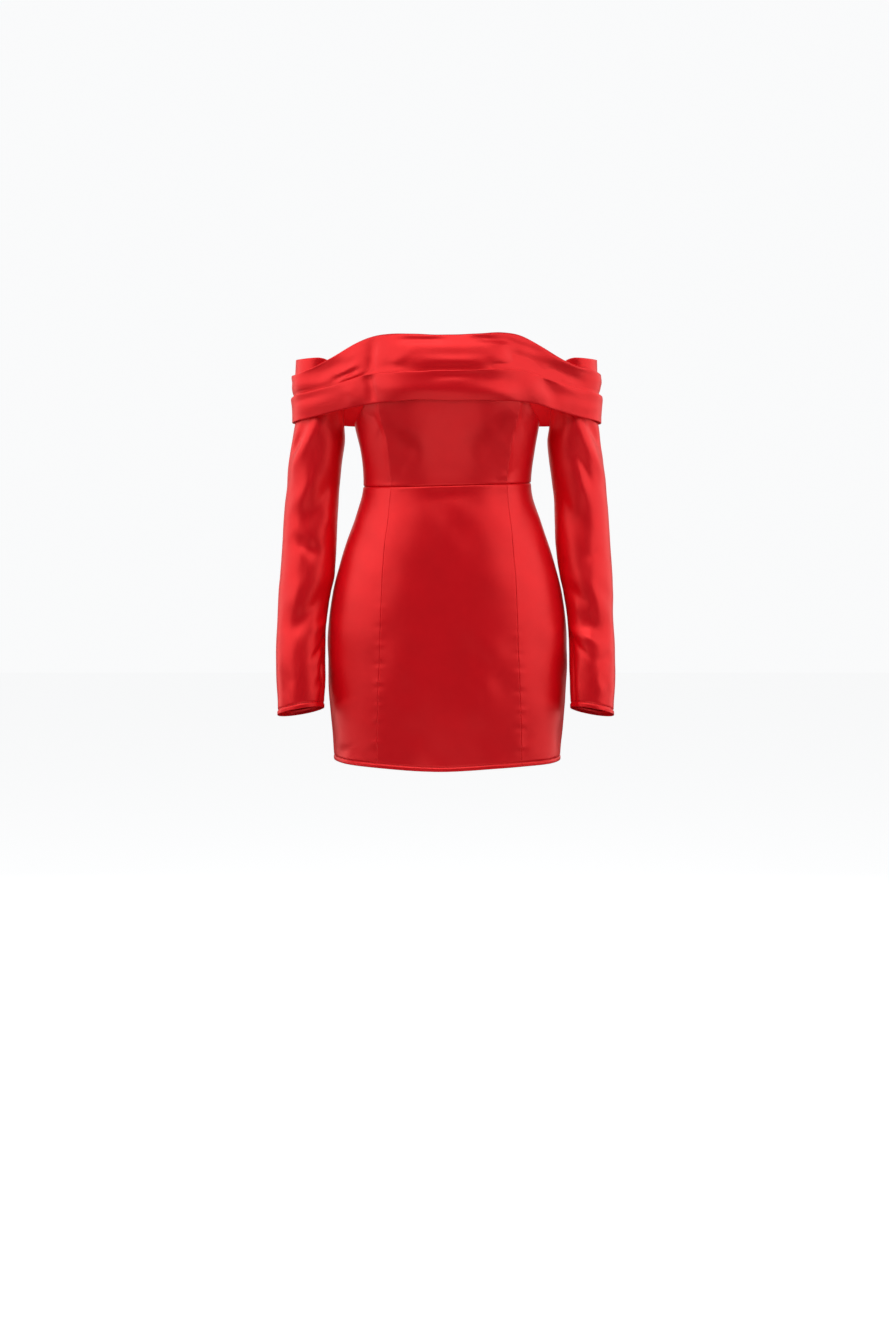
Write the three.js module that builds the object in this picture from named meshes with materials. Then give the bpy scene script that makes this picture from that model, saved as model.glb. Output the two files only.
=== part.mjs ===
// Off-shoulder satin mini dress with long fitted sleeves and a pleated collar drape.
//
// Millimetres. +Z is up and the front of the dress faces -Y, so +X is the wearer's left.
// The origin is at the middle of the waist, where the dress is held on its wearer.
// Plan angles are measured from the front: 0 faces -Y, 90 degrees faces +X, 180 faces +Y.
// Every piece is a closed cloth wall, lofted through sections worked out from the tables below.

import * as THREE from 'three';

const DEGREE = Math.PI / 180;

// Cloth and seams
const WALL = 1.5;
const SEAM_GAP = 0.3;
const SATIN = { color: 0xb80f1c, roughness: 0.32, metalness: 0.0 };

// Lines across the body
const WAIST_LEVEL = 1.8;
const WAIST_RISE = 2.6;
const HEM_LEVEL = -386;
const HEM_DIP = 5;
const HEM_DIP_AT = -6;
const HEM_DIP_WIDTH = 38;
const FRONT_PANEL_SHIFT = 2.3;
const SIDE_SEAM = 90;
const CENTRE_BACK = 180;

// Sections of the body of the dress, from the hem to above the bust: half width, and how far
// the front and the back stand from the middle. square is the exponent of the section's curve.
const TORSO = [
  { z: -398, half: 159.4, front: 112, back: 118, square: 2.3 },
  { z: -350, half: 163.3, front: 112.5, back: 120, square: 2.3 },
  { z: -300, half: 167.7, front: 112, back: 123, square: 2.3 },
  { z: -240, half: 169.9, front: 109, back: 126.5, square: 2.3 },
  { z: -200, half: 168.9, front: 106, back: 127, square: 2.29 },
  { z: -150, half: 162.2, front: 101.5, back: 120, square: 2.25 },
  { z: -105, half: 150.5, front: 96, back: 108, square: 2.2 },
  { z: -50, half: 132.2, front: 88, back: 89, square: 2.15 },
  { z: -20, half: 121.8, front: 82, back: 79, square: 2.15 },
  { z: 0, half: 118.4, front: 80, back: 76, square: 2.15 },
  { z: 20, half: 119.0, front: 83.5, back: 77, square: 2.17 },
  { z: 48, half: 123.0, front: 93, back: 81, square: 2.25 },
  { z: 83, half: 129.0, front: 107, back: 88, square: 2.4 },
  { z: 125, half: 135.0, front: 121, back: 94, square: 2.5 },
  { z: 165, half: 134.0, front: 117, back: 98, square: 2.5 },
  { z: 215, half: 128.0, front: 99, back: 100, square: 2.5 },
];

// Half width of the front centre panel, at the seams beside it
const FRONT_SEAM = [
  { z: -392, half: 100.5 },
  { z: -310, half: 98.7 },
  { z: -225, half: 96.0 },
  { z: -120, half: 91.7 },
  { z: -50, half: 85.4 },
  { z: 0, half: 80.8 },
  { z: 25, half: 82.0 },
  { z: 60, half: 87.0 },
  { z: 105, half: 96.8 },
  { z: 215, half: 100.0 },
];

// Top edge of the bodice, from the centre front round the armhole to the centre back
const BODICE_TOP = [
  { angle: 0, z: 203 },
  { angle: 36, z: 203 },
  { angle: 48, z: 172 },
  { angle: 56, z: 124 },
  { angle: 64, z: 104 },
  { angle: 76, z: 91 },
  { angle: 90, z: 86 },
  { angle: 108, z: 94 },
  { angle: 128, z: 128 },
  { angle: 146, z: 149 },
  { angle: 180, z: 152 },
];

// Sections of the sleeves, from the cuffs to their heads: distance of each one's middle from
// the centre line and its half width, then half depth and how far the middle lies ahead
const SLEEVE = [
  { z: -340, rightMid: 206.2, rightHalf: 31.2, leftMid: 203.1, leftHalf: 29.9, depth: 34.5, ahead: 56 },
  { z: -302, rightMid: 205.7, rightHalf: 32.4, leftMid: 203.4, leftHalf: 30.5, depth: 35.5, ahead: 48 },
  { z: -277, rightMid: 205.6, rightHalf: 34.3, leftMid: 204.1, leftHalf: 31.9, depth: 37, ahead: 43 },
  { z: -244, rightMid: 206.4, rightHalf: 34.9, leftMid: 203.9, leftHalf: 32.4, depth: 38.5, ahead: 36 },
  { z: -216, rightMid: 206.2, rightHalf: 34.7, leftMid: 203.4, leftHalf: 32.2, depth: 39.5, ahead: 29 },
  { z: -190, rightMid: 205.2, rightHalf: 34.6, leftMid: 202.0, leftHalf: 32.3, depth: 40, ahead: 22 },
  { z: -147, rightMid: 201.1, rightHalf: 37.4, leftMid: 198.8, leftHalf: 35.1, depth: 41, ahead: 13 },
  { z: -126, rightMid: 197.8, rightHalf: 38.6, leftMid: 196.2, leftHalf: 37.4, depth: 42, ahead: 9 },
  { z: -84, rightMid: 195.2, rightHalf: 38.4, leftMid: 192.1, leftHalf: 38.8, depth: 42.5, ahead: 1 },
  { z: -41, rightMid: 193.0, rightHalf: 38.1, leftMid: 189.9, leftHalf: 38.3, depth: 43, ahead: -3 },
  { z: 0, rightMid: 189.3, rightHalf: 37.2, leftMid: 186.4, leftHalf: 38.0, depth: 43, ahead: -4 },
  { z: 34, rightMid: 186.2, rightHalf: 37.7, leftMid: 182.0, leftHalf: 38.2, depth: 43, ahead: -3 },
  { z: 63, rightMid: 181.6, rightHalf: 37.6, leftMid: 178.5, leftHalf: 37.7, depth: 43.5, ahead: -2 },
  { z: 82, rightMid: 180.2, rightHalf: 36.6, leftMid: 178.6, leftHalf: 36.4, depth: 43, ahead: -1 },
  { z: 103, rightMid: 179.2, rightHalf: 35.0, leftMid: 177.8, leftHalf: 34.8, depth: 42.2, ahead: -1 },
  { z: 140, rightMid: 179.2, rightHalf: 35.2, leftMid: 177.3, leftHalf: 34.2, depth: 41.5, ahead: 0 },
  { z: 182, rightMid: 177.6, rightHalf: 34.8, leftMid: 176.5, leftHalf: 33.8, depth: 41.5, ahead: 0 },
];
// Ends of a sleeve: the cuff is lowest behind and outside, the head is cut away under the arm
const CUFF = { level: -314.3, frontRise: 8, innerRise: 5.5 };
const HEAD = { level: 178.5, outerDrop: 3, underarmDrop: 68, underarmWidth: 42 };

// Soft folds across the sleeves. turn is the angle round the sleeve from its front towards
// the outside; climb is how far the fold turns, in degrees, for each millimetre it rises.
const SLEEVE_FOLDS = [
  { side: -1, z: 60, turn: 42, climb: -0.85, length: 34, width: 10, depth: 2.2 },
  { side: -1, z: -25, turn: -12, climb: -0.85, length: 46, width: 15, depth: 3.4 },
  { side: -1, z: -92, turn: 24, climb: -1.6, length: 22, width: 9, depth: 2.0 },
  { side: -1, z: -170, turn: -24, climb: -1.0, length: 30, width: 13, depth: 3.0 },
  { side: -1, z: -214, turn: -66, climb: -0.5, length: 16, width: 9, depth: 3.2 },
  { side: -1, z: -252, turn: -40, climb: -0.9, length: 26, width: 8, depth: 2.4 },
  { side: 1, z: 72, turn: 50, climb: -1.2, length: 26, width: 10, depth: 2.2 },
  { side: 1, z: -36, turn: -30, climb: -1.4, length: 40, width: 15, depth: 3.4 },
  { side: 1, z: -168, turn: -20, climb: 1.5, length: 28, width: 13, depth: 3.0 },
  { side: 1, z: -208, turn: -72, climb: 0.0, length: 15, width: 11, depth: 3.6 },
  { side: 1, z: -222, turn: -5, climb: -2.0, length: 30, width: 11, depth: 3.0 },
];

// Lines of the collar drape at each plan angle: its top fold, the top edge of the lower
// pleat that laps over it, and its foot
const DRAPE = [
  { angle: -180, top: 168, pleat: 128, foot: 83 },
  { angle: -150, top: 168, pleat: 128, foot: 83 },
  { angle: -120, top: 165, pleat: 126, foot: 83.5 },
  { angle: -100, top: 157, pleat: 121.5, foot: 86 },
  { angle: -90, top: 154, pleat: 121.5, foot: 88 },
  { angle: -80, top: 158.5, pleat: 128.5, foot: 93.5 },
  { angle: -70, top: 176.4, pleat: 136.8, foot: 103 },
  { angle: -60, top: 195.5, pleat: 146.3, foot: 109 },
  { angle: -50, top: 206, pleat: 152.8, foot: 113 },
  { angle: -40, top: 208.7, pleat: 155.8, foot: 115.6 },
  { angle: -20, top: 207.8, pleat: 157.4, foot: 118.8 },
  { angle: 0, top: 206.8, pleat: 158.5, foot: 118 },
  { angle: 20, top: 208.5, pleat: 159.3, foot: 118.4 },
  { angle: 40, top: 210.2, pleat: 160.2, foot: 117.5 },
  { angle: 50, top: 207, pleat: 156.9, foot: 116 },
  { angle: 60, top: 193, pleat: 148.7, foot: 111.6 },
  { angle: 70, top: 174, pleat: 138.4, foot: 103 },
  { angle: 80, top: 162, pleat: 130.5, foot: 93 },
  { angle: 90, top: 155.5, pleat: 125.5, foot: 87.5 },
  { angle: 100, top: 158, pleat: 123.5, foot: 85 },
  { angle: 120, top: 165, pleat: 126, foot: 83.5 },
  { angle: 150, top: 168, pleat: 128, foot: 83 },
  { angle: 180, top: 168, pleat: 128, foot: 83 },
];

// Section of the drape, from its foot over the two pleats to its top fold. share runs from
// one line to the next, rise is added to it, and out is the distance from what it lies on.
const DRAPE_INSIDE = 0.6;
const DRAPE_OUTSIDE = [
  { from: 'foot', to: 'pleat', share: 0, rise: 0, out: 2.6 },
  { from: 'foot', to: 'pleat', share: 0, rise: 2.5, out: 3.6 },
  { from: 'foot', to: 'pleat', share: 0.36, rise: 0, out: 4.1 },
  { from: 'foot', to: 'pleat', share: 0.72, rise: 0, out: 4.0 },
  { from: 'pleat', to: 'top', share: 0, rise: -1.8, out: 4.3 },
  { from: 'pleat', to: 'top', share: 0, rise: 0, out: 3.6 },
  { from: 'pleat', to: 'top', share: 0, rise: -3.2, out: 2.1 },
  { from: 'pleat', to: 'top', share: 0.12, rise: 0, out: 2.5 },
  { from: 'pleat', to: 'top', share: 0.4, rise: 0, out: 3.5 },
  { from: 'pleat', to: 'top', share: 0.72, rise: 0, out: 3.2 },
  { from: 'pleat', to: 'top', share: 1, rise: -2, out: 2.9 },
  { from: 'pleat', to: 'top', share: 1, rise: 0, out: 1.9 },
];
const DRAPE_INSIDE_ROWS = 7;
const DRAPE_SPLIT = 99;
const DRAPE_LEVEL = 130;

// Fineness of the lofts
const BODICE_ROWS = 9;
const SKIRT_ROWS = 15;
const PANEL_STEP = 8;
const SLEEVE_ROWS = 24;
const SLEEVE_COLUMNS = 20;
const DRAPE_STEPS = [
  { angle: 0, step: 7 },
  { angle: 55, step: 6 },
  { angle: 70, step: 4 },
  { angle: 78, step: 1.6 },
  { angle: 102, step: 1.6 },
  { angle: 110, step: 4 },
  { angle: 125, step: 7 },
  { angle: 180, step: 9 },
];

// A smooth function through one column of a table, flat beyond its ends
function column(rows, key, name) {
  const x = rows.map((row) => row[key]);
  const y = rows.map((row) => row[name]);
  const last = rows.length - 1;
  const slope = x.map((_, i) => {
    const before = Math.max(i - 1, 0);
    const after = Math.min(i + 1, last);
    return (y[after] - y[before]) / (x[after] - x[before]);
  });
  return (value) => {
    const at = THREE.MathUtils.clamp(value, x[0], x[last]);
    let i = 0;
    while (i < last - 1 && x[i + 1] < at) i += 1;
    const span = x[i + 1] - x[i];
    const t = (at - x[i]) / span;
    const back = 1 - t;
    const ends = y[i] * (1 + 2 * t) * back * back + y[i + 1] * t * t * (3 - 2 * t);
    return ends + span * t * back * (slope[i] * back - slope[i + 1] * t);
  };
}

const torso = {
  half: column(TORSO, 'z', 'half'),
  front: column(TORSO, 'z', 'front'),
  back: column(TORSO, 'z', 'back'),
  square: column(TORSO, 'z', 'square'),
};
const sleeve = {
  depth: column(SLEEVE, 'z', 'depth'),
  ahead: column(SLEEVE, 'z', 'ahead'),
};
const ARMS = [
  {
    name: 'sleeve_right',
    side: -1,
    mid: column(SLEEVE, 'z', 'rightMid'),
    half: column(SLEEVE, 'z', 'rightHalf'),
  },
  {
    name: 'sleeve_left',
    side: 1,
    mid: column(SLEEVE, 'z', 'leftMid'),
    half: column(SLEEVE, 'z', 'leftHalf'),
  },
];
const drape = {
  top: column(DRAPE, 'angle', 'top'),
  pleat: column(DRAPE, 'angle', 'pleat'),
  foot: column(DRAPE, 'angle', 'foot'),
};
const drapeStep = column(DRAPE_STEPS, 'angle', 'step');
const frontSeamHalf = column(FRONT_SEAM, 'z', 'half');
const bodiceTop = column(BODICE_TOP, 'angle', 'z');

const bell = (value) => Math.exp(-value * value);
const mix = THREE.MathUtils.lerp;

// A point of a section: flat holds its distance from the middle and its height
function polarPoint(angle, radius, z) {
  const turn = angle * DEGREE;
  return {
    place: new THREE.Vector3(radius * Math.sin(turn), -radius * Math.cos(turn), z),
    flat: new THREE.Vector2(radius, z),
  };
}

// Triangles across the end of a wall, from each point outside to the one across from it
function wallEnd(section) {
  const triangles = [];
  for (let i = 0; i < section.length / 2 - 1; i += 1) {
    const across = section.length - 1 - i;
    triangles.push([i, i + 1, across - 1], [i, across - 1, across]);
  }
  return triangles;
}

// Triangles across the end of a section that lies in one plane
function planeEnd(section) {
  return THREE.ShapeUtils.triangulateShape(section.map(({ flat }) => flat), []);
}

// Lofts a closed wall through closed sections. It wraps round where no end is given.
function loft(sections, end) {
  const count = sections[0].length;
  const positions = sections.flat().flatMap(({ place }) => [place.x, place.y, place.z]);
  const faces = [];
  const strips = end ? sections.length - 1 : sections.length;
  for (let s = 0; s < strips; s += 1) {
    const here = s * count;
    const next = ((s + 1) % sections.length) * count;
    for (let i = 0; i < count; i += 1) {
      const j = (i + 1) % count;
      faces.push(here + i, next + i, next + j);
      faces.push(here + i, next + j, here + j);
    }
  }
  if (end) {
    const last = (sections.length - 1) * count;
    for (const [a, b, c] of end(sections[0])) faces.push(a, b, c);
    for (const [a, b, c] of end(sections.at(-1))) faces.push(last + a, last + c, last + b);
  }
  const geometry = new THREE.BufferGeometry();
  geometry.setAttribute('position', new THREE.Float32BufferAttribute(positions, 3));
  geometry.setIndex(faces);
  geometry.computeVertexNormals();
  return geometry;
}

function clothMesh(name, geometry) {
  const mesh = new THREE.Mesh(geometry, new THREE.MeshStandardMaterial(SATIN));
  mesh.name = name;
  return mesh;
}

// Body of the dress
function torsoRadius(angle, z, out) {
  const turn = angle * DEGREE;
  const side = torso.half(z) + out;
  const depth = (Math.cos(turn) > 0 ? torso.front(z) : torso.back(z)) + out;
  const power = torso.square(z);
  const across = Math.abs(Math.sin(turn) / side) ** power;
  const along = Math.abs(Math.cos(turn) / depth) ** power;
  return (across + along) ** (-1 / power);
}

// Plan angle of the seam beside the front centre panel
function frontSeamAngle(side, z) {
  const x = frontSeamHalf(z) + side * FRONT_PANEL_SHIFT;
  const power = torso.square(z);
  const y = torso.front(z) * (1 - (x / torso.half(z)) ** power) ** (1 / power);
  return (side * Math.atan2(x, y)) / DEGREE;
}

const waistLevel = (angle) => WAIST_LEVEL + WAIST_RISE * Math.sin(angle * DEGREE);

function hemLevel(angle) {
  return HEM_LEVEL - HEM_DIP * bell((angle - HEM_DIP_AT) / HEM_DIP_WIDTH);
}

// A panel between two seams, each given as a plan angle at a height
function panel({ name, from, to, low, high, rows, level }) {
  const columns = Math.ceil((to(level) - from(level)) / PANEL_STEP);
  const sections = [];
  for (let c = 0; c <= columns; c += 1) {
    const share = c / columns;
    const angleAt = (z) => {
      const gap = SEAM_GAP / 2 / torsoRadius(from(z), z, 0) / DEGREE;
      return mix(from(z) + gap, to(z) - gap, share);
    };
    const sewn = mix(from(level), to(level), share);
    const bottom = low(sewn);
    const top = high(sewn);
    const outside = [];
    const inside = [];
    for (let r = 0; r <= rows; r += 1) {
      const z = mix(bottom, top, r / rows);
      const angle = angleAt(z);
      outside.push(polarPoint(angle, torsoRadius(angle, z, 0), z));
      inside.unshift(polarPoint(angle, torsoRadius(angle, z, -WALL), z));
    }
    sections.push([...outside, ...inside]);
  }
  return clothMesh(name, loft(sections, wallEnd));
}

const SEAMS = {
  rightBack: () => -CENTRE_BACK,
  rightSide: () => -SIDE_SEAM,
  rightFront: (z) => frontSeamAngle(-1, z),
  leftFront: (z) => frontSeamAngle(1, z),
  leftSide: () => SIDE_SEAM,
  leftBack: () => CENTRE_BACK,
};
const PANELS = [
  { name: 'back_right', from: SEAMS.rightBack, to: SEAMS.rightSide },
  { name: 'side_front_right', from: SEAMS.rightSide, to: SEAMS.rightFront },
  { name: 'front_centre', from: SEAMS.rightFront, to: SEAMS.leftFront },
  { name: 'side_front_left', from: SEAMS.leftFront, to: SEAMS.leftSide },
  { name: 'back_left', from: SEAMS.leftSide, to: SEAMS.leftBack },
];

function bodicePanels() {
  const low = (angle) => waistLevel(angle) + SEAM_GAP / 2;
  const high = (angle) => bodiceTop(Math.abs(angle));
  return PANELS.map(({ name, from, to }) => panel({
    name: `bodice_${name}`, from, to, low, high, rows: BODICE_ROWS, level: 120,
  }));
}

function skirtPanels() {
  const high = (angle) => waistLevel(angle) - SEAM_GAP / 2;
  return PANELS.map(({ name, from, to }) => panel({
    name: `skirt_${name}`, from, to, low: hemLevel, high, rows: SKIRT_ROWS, level: HEM_LEVEL,
  }));
}

// Sleeves
function foldDepth({ side, half }, turn, z) {
  let depth = 0;
  for (const fold of SLEEVE_FOLDS) {
    if (fold.side === side) {
      const rise = z - fold.z;
      const off = (turn - fold.turn - fold.climb * rise) * DEGREE * half(z);
      depth += fold.depth * bell(off / fold.width) * bell(rise / fold.length);
    }
  }
  return depth;
}

// turn is measured from the front of the sleeve towards its outside
function sleevePoint(arm, turn, z, out) {
  const away = foldDepth(arm, turn, z);
  const across = (arm.half(z) + out - away) * Math.sin(turn * DEGREE);
  const along = (sleeve.depth(z) + out - away) * Math.cos(turn * DEGREE);
  return { place: new THREE.Vector3(arm.side * (arm.mid(z) + across), -sleeve.ahead(z) - along, z) };
}

function cuffLevel(turn) {
  const front = CUFF.frontRise * Math.cos(turn * DEGREE);
  return CUFF.level + front - CUFF.innerRise * Math.sin(turn * DEGREE);
}

function headLevel(turn) {
  const outer = HEAD.outerDrop * Math.max(Math.sin(turn * DEGREE), 0);
  const fromUnderarm = Math.abs(((turn + 270) % 360) - 180);
  const under = HEAD.underarmDrop * bell(fromUnderarm / HEAD.underarmWidth);
  return HEAD.level - outer - under;
}

function sleeveTube(arm) {
  const sections = [];
  for (let c = 0; c < SLEEVE_COLUMNS; c += 1) {
    const turn = (arm.side * 360 * c) / SLEEVE_COLUMNS;
    const low = cuffLevel(turn);
    const high = headLevel(turn);
    const outside = [];
    const inside = [];
    for (let r = 0; r <= SLEEVE_ROWS; r += 1) {
      const z = mix(low, high, r / SLEEVE_ROWS);
      outside.push(sleevePoint(arm, turn, z, 0));
      inside.unshift(sleevePoint(arm, turn, z, -WALL));
    }
    sections.push([...outside, ...inside]);
  }
  return clothMesh(arm.name, loft(sections));
}

// The collar drape is drawn taut round the bust, the back and both sleeve heads. reach is how
// far that outline stands from the middle in one direction.
function torsoReach(turn, z) {
  const depth = Math.cos(turn) > 0 ? torso.front(z) : torso.back(z);
  const power = torso.square(z) / (torso.square(z) - 1);
  const across = Math.abs(torso.half(z) * Math.sin(turn)) ** power;
  const along = Math.abs(depth * Math.cos(turn)) ** power;
  return (across + along) ** (1 / power);
}

function armReach({ side, mid, half }, turn, z) {
  const middle = side * mid(z) * Math.sin(turn) + sleeve.ahead(z) * Math.cos(turn);
  return middle + Math.hypot(half(z) * Math.sin(turn), sleeve.depth(z) * Math.cos(turn));
}

// Distance of the taut outline from the middle, moved out from what it lies on
function drapeRadius(angle, z, out) {
  let radius = Infinity;
  for (let lean = -80; lean <= 80; lean += 1) {
    const turn = (angle + lean) * DEGREE;
    const reaches = ARMS.map((arm) => armReach(arm, turn, z));
    const reach = Math.max(torsoReach(turn, z), ...reaches) + out;
    radius = Math.min(radius, reach / Math.cos(lean * DEGREE));
  }
  return radius;
}

function drapeSection(angle) {
  const line = { top: drape.top(angle), pleat: drape.pleat(angle), foot: drape.foot(angle) };
  const outside = DRAPE_OUTSIDE.map(({ from, to, share, rise, out }) => {
    const z = mix(line[from], line[to], share) + rise;
    return polarPoint(angle, drapeRadius(angle, z, out), z);
  });
  const inside = [];
  for (let r = 0; r <= DRAPE_INSIDE_ROWS; r += 1) {
    const z = mix(line.top, line.foot, r / DRAPE_INSIDE_ROWS);
    inside.push(polarPoint(angle, drapeRadius(angle, z, DRAPE_INSIDE), z));
  }
  return [...outside, ...inside];
}

// Plan angle from -180 to 180 degrees, the same way as the tables
const wrapAngle = (angle) => (angle > CENTRE_BACK ? angle - 2 * CENTRE_BACK : angle);

// Plan angles between two ends, closer together where the drape bends round an arm
function drapeAngles(start, end) {
  const fine = 0.1;
  const shares = [];
  let total = 0;
  for (let angle = start; angle < end; angle += fine) {
    total += fine / drapeStep(Math.abs(wrapAngle(angle)));
    shares.push({ angle: angle + fine, total });
  }
  const strips = Math.ceil(total);
  const marks = [start];
  for (const share of shares) {
    if (marks.length < strips && share.total >= (marks.length * total) / strips) {
      marks.push(share.angle);
    }
  }
  return [...marks, end];
}

function drapePiece(name, start, end) {
  const gap = SEAM_GAP / 2 / drapeRadius(DRAPE_SPLIT, DRAPE_LEVEL, 0) / DEGREE;
  const angles = drapeAngles(start + gap, end - gap).map(wrapAngle);
  return clothMesh(name, loft(angles.map(drapeSection), planeEnd));
}

function drapePieces() {
  const behind = 2 * CENTRE_BACK - DRAPE_SPLIT;
  return [
    drapePiece('collar_front', -DRAPE_SPLIT, DRAPE_SPLIT),
    drapePiece('collar_back', DRAPE_SPLIT, behind),
  ];
}

const dress = new THREE.Group();
dress.name = 'mini_dress';
dress.add(...bodicePanels(), ...skirtPanels(), ...ARMS.map(sleeveTube), ...drapePieces());

export default dress;
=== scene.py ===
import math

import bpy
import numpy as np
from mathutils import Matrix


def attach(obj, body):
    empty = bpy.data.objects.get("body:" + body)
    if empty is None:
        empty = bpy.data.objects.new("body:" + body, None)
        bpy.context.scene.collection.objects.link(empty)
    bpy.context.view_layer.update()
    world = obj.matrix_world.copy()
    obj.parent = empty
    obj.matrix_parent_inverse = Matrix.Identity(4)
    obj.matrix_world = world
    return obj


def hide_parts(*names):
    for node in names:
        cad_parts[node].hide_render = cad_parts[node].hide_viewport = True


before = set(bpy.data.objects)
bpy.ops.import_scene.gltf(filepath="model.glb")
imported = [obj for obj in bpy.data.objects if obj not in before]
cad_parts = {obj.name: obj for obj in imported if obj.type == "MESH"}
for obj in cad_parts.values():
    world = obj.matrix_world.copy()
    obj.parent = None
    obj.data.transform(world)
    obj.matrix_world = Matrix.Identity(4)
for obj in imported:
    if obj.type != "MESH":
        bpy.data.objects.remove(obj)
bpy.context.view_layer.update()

# Looks of an off-shoulder satin mini dress with long sleeves and a pleated collar drape.
#
# The cloth's tables and lengths are in millimetres, as in the part, and its meshes are made in
# metres. The camera, the floor and the lights are in metres.
# Plan angles are in degrees from the front: 0 faces -Y, 90 faces +X, 180 faces +Y.
# turn is the angle round a sleeve, from its front towards its outside.

MM = 0.001

# The photograph, where it was taken from, and the floor
PHOTO_WIDTH = 889
PHOTO_HEIGHT = 1333
PIXEL_SIZE = 1.41 * MM
CAMERA_RANGE = 3.3
LEVEL_ROW = 440
DRESS_COLUMN = 447.3
EYE_HEIGHT = 0.063
FLOOR_LEVEL = -1.16
FLOOR_REACH = 9

# Cloth and seams. An upright seam is nearly closed and the ends of its cloth slant, so that no
# light shows through it. A sewn edge turns in by its sink over its roll, and ROLL_SHARE keeps it
# just short of square. RIM_TURNS are degrees round a free edge, and GRID is the step of a mesh
# away from its edges.
WALL = 1.2
SEAM_GAP = 0.08
SEAM_SLANT = 1.4
SEAM_ROLL = 1.0
SEAM_SINK = 0.5
WAIST_GAP = 0.3
WAIST_ROLL = 3.0
WAIST_SINK = 2.2
ROLL_SHARE = 0.98
RIM_TURNS = (45, 90, 135)
GRID = 3.0

# Lines across and down the body. TORSO_WIDTH_SHARE is how much its half width counts, beside its
# depth in front, in a length round it.
WAIST_LEVEL = 1.8
WAIST_RISE = 2.6
HEM_LEVEL = -386
HEM_DIP = 5
HEM_DIP_AT = -6
HEM_DIP_WIDTH = 38
FRONT_PANEL_SHIFT = 2.3
SIDE_SEAM = 90
CENTRE_BACK = 180
BODICE_SEAM_LEVEL = 120
TORSO_WIDTH_SHARE = 0.55


def table(names, *rows):
    """A table's rows as one array for each named column."""
    return {name: np.array(values, float) for name, values in zip(names.split(), zip(*rows))}


# Sections of the body of the dress, from the hem to above the bust
TORSO = table(
    "z half front back square",
    (-398, 159.4, 112, 118, 2.3),
    (-350, 163.3, 112.5, 120, 2.3),
    (-300, 167.7, 112, 123, 2.3),
    (-240, 169.9, 109, 126.5, 2.3),
    (-200, 168.9, 106, 127, 2.29),
    (-150, 162.2, 101.5, 120, 2.25),
    (-105, 150.5, 96, 108, 2.2),
    (-50, 132.2, 88, 89, 2.15),
    (-20, 121.8, 82, 79, 2.15),
    (0, 118.4, 80, 76, 2.15),
    (20, 119.0, 83.5, 77, 2.17),
    (48, 123.0, 93, 81, 2.25),
    (83, 129.0, 107, 88, 2.4),
    (125, 135.0, 121, 94, 2.5),
    (165, 134.0, 117, 98, 2.5),
    (215, 128.0, 99, 100, 2.5),
)

# Half width of the front centre panel, at the seams beside it
FRONT_SEAM = table(
    "z half",
    (-392, 100.5),
    (-310, 98.7),
    (-225, 96.0),
    (-120, 91.7),
    (-50, 85.4),
    (0, 80.8),
    (25, 82.0),
    (60, 87.0),
    (105, 96.8),
    (215, 100.0),
)

# Top edge of the bodice, from the centre front round the armhole to the centre back
BODICE_TOP = table(
    "angle z",
    (0, 203),
    (36, 203),
    (48, 172),
    (56, 124),
    (64, 104),
    (76, 91),
    (90, 86),
    (108, 94),
    (128, 128),
    (146, 149),
    (180, 152),
)

# Sections of the sleeves, from the cuffs to their heads
SLEEVE = table(
    "z right_mid right_half left_mid left_half depth ahead",
    (-340, 206.2, 31.2, 203.1, 29.9, 34.5, 56),
    (-302, 205.7, 32.4, 203.4, 30.5, 35.5, 48),
    (-277, 205.6, 34.3, 204.1, 31.9, 37, 43),
    (-244, 206.4, 34.9, 203.9, 32.4, 38.5, 36),
    (-216, 206.2, 34.7, 203.4, 32.2, 39.5, 29),
    (-190, 205.2, 34.6, 202.0, 32.3, 40, 22),
    (-147, 201.1, 37.4, 198.8, 35.1, 41, 13),
    (-126, 197.8, 38.6, 196.2, 37.4, 42, 9),
    (-84, 195.2, 38.4, 192.1, 38.8, 42.5, 1),
    (-41, 193.0, 38.1, 189.9, 38.3, 43, -3),
    (0, 189.3, 37.2, 186.4, 38.0, 43, -4),
    (34, 186.2, 37.7, 182.0, 38.2, 43, -3),
    (63, 181.6, 37.6, 178.5, 37.7, 43.5, -2),
    (82, 180.2, 36.6, 178.6, 36.4, 43, -1),
    (103, 179.2, 35.0, 177.8, 34.8, 42.2, -1),
    (140, 179.2, 35.2, 177.3, 34.2, 41.5, 0),
    (182, 177.6, 34.8, 176.5, 33.8, 41.5, 0),
)
CUFF_LEVEL = -314.3
CUFF_FRONT_RISE = 8
CUFF_INNER_RISE = 5.5
HEAD_LEVEL = 178.5
HEAD_OUTER_DROP = 3
UNDERARM_DROP = 68
UNDERARM_WIDTH = 42
UNDERARM_SEAM = -82
UNDERARM_SEAM_SINK = 0.7
UNDERARM_SEAM_WIDTH = 0.9
UNDERARM_PUCKER = 0.3
UNDERARM_PUCKER_REACH = 5
UNDERARM_PUCKER_LENGTH = 16
SLEEVE_COLUMNS = 108
SLEEVE_GIRTH = 246

# Under the collar's foot the sleeves lie a little in, so that their folds stay clear of it
SLEEVE_SINK = 2.0
SLEEVE_SINK_LEVEL = 96
SLEEVE_SINK_LENGTH = 24

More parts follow.
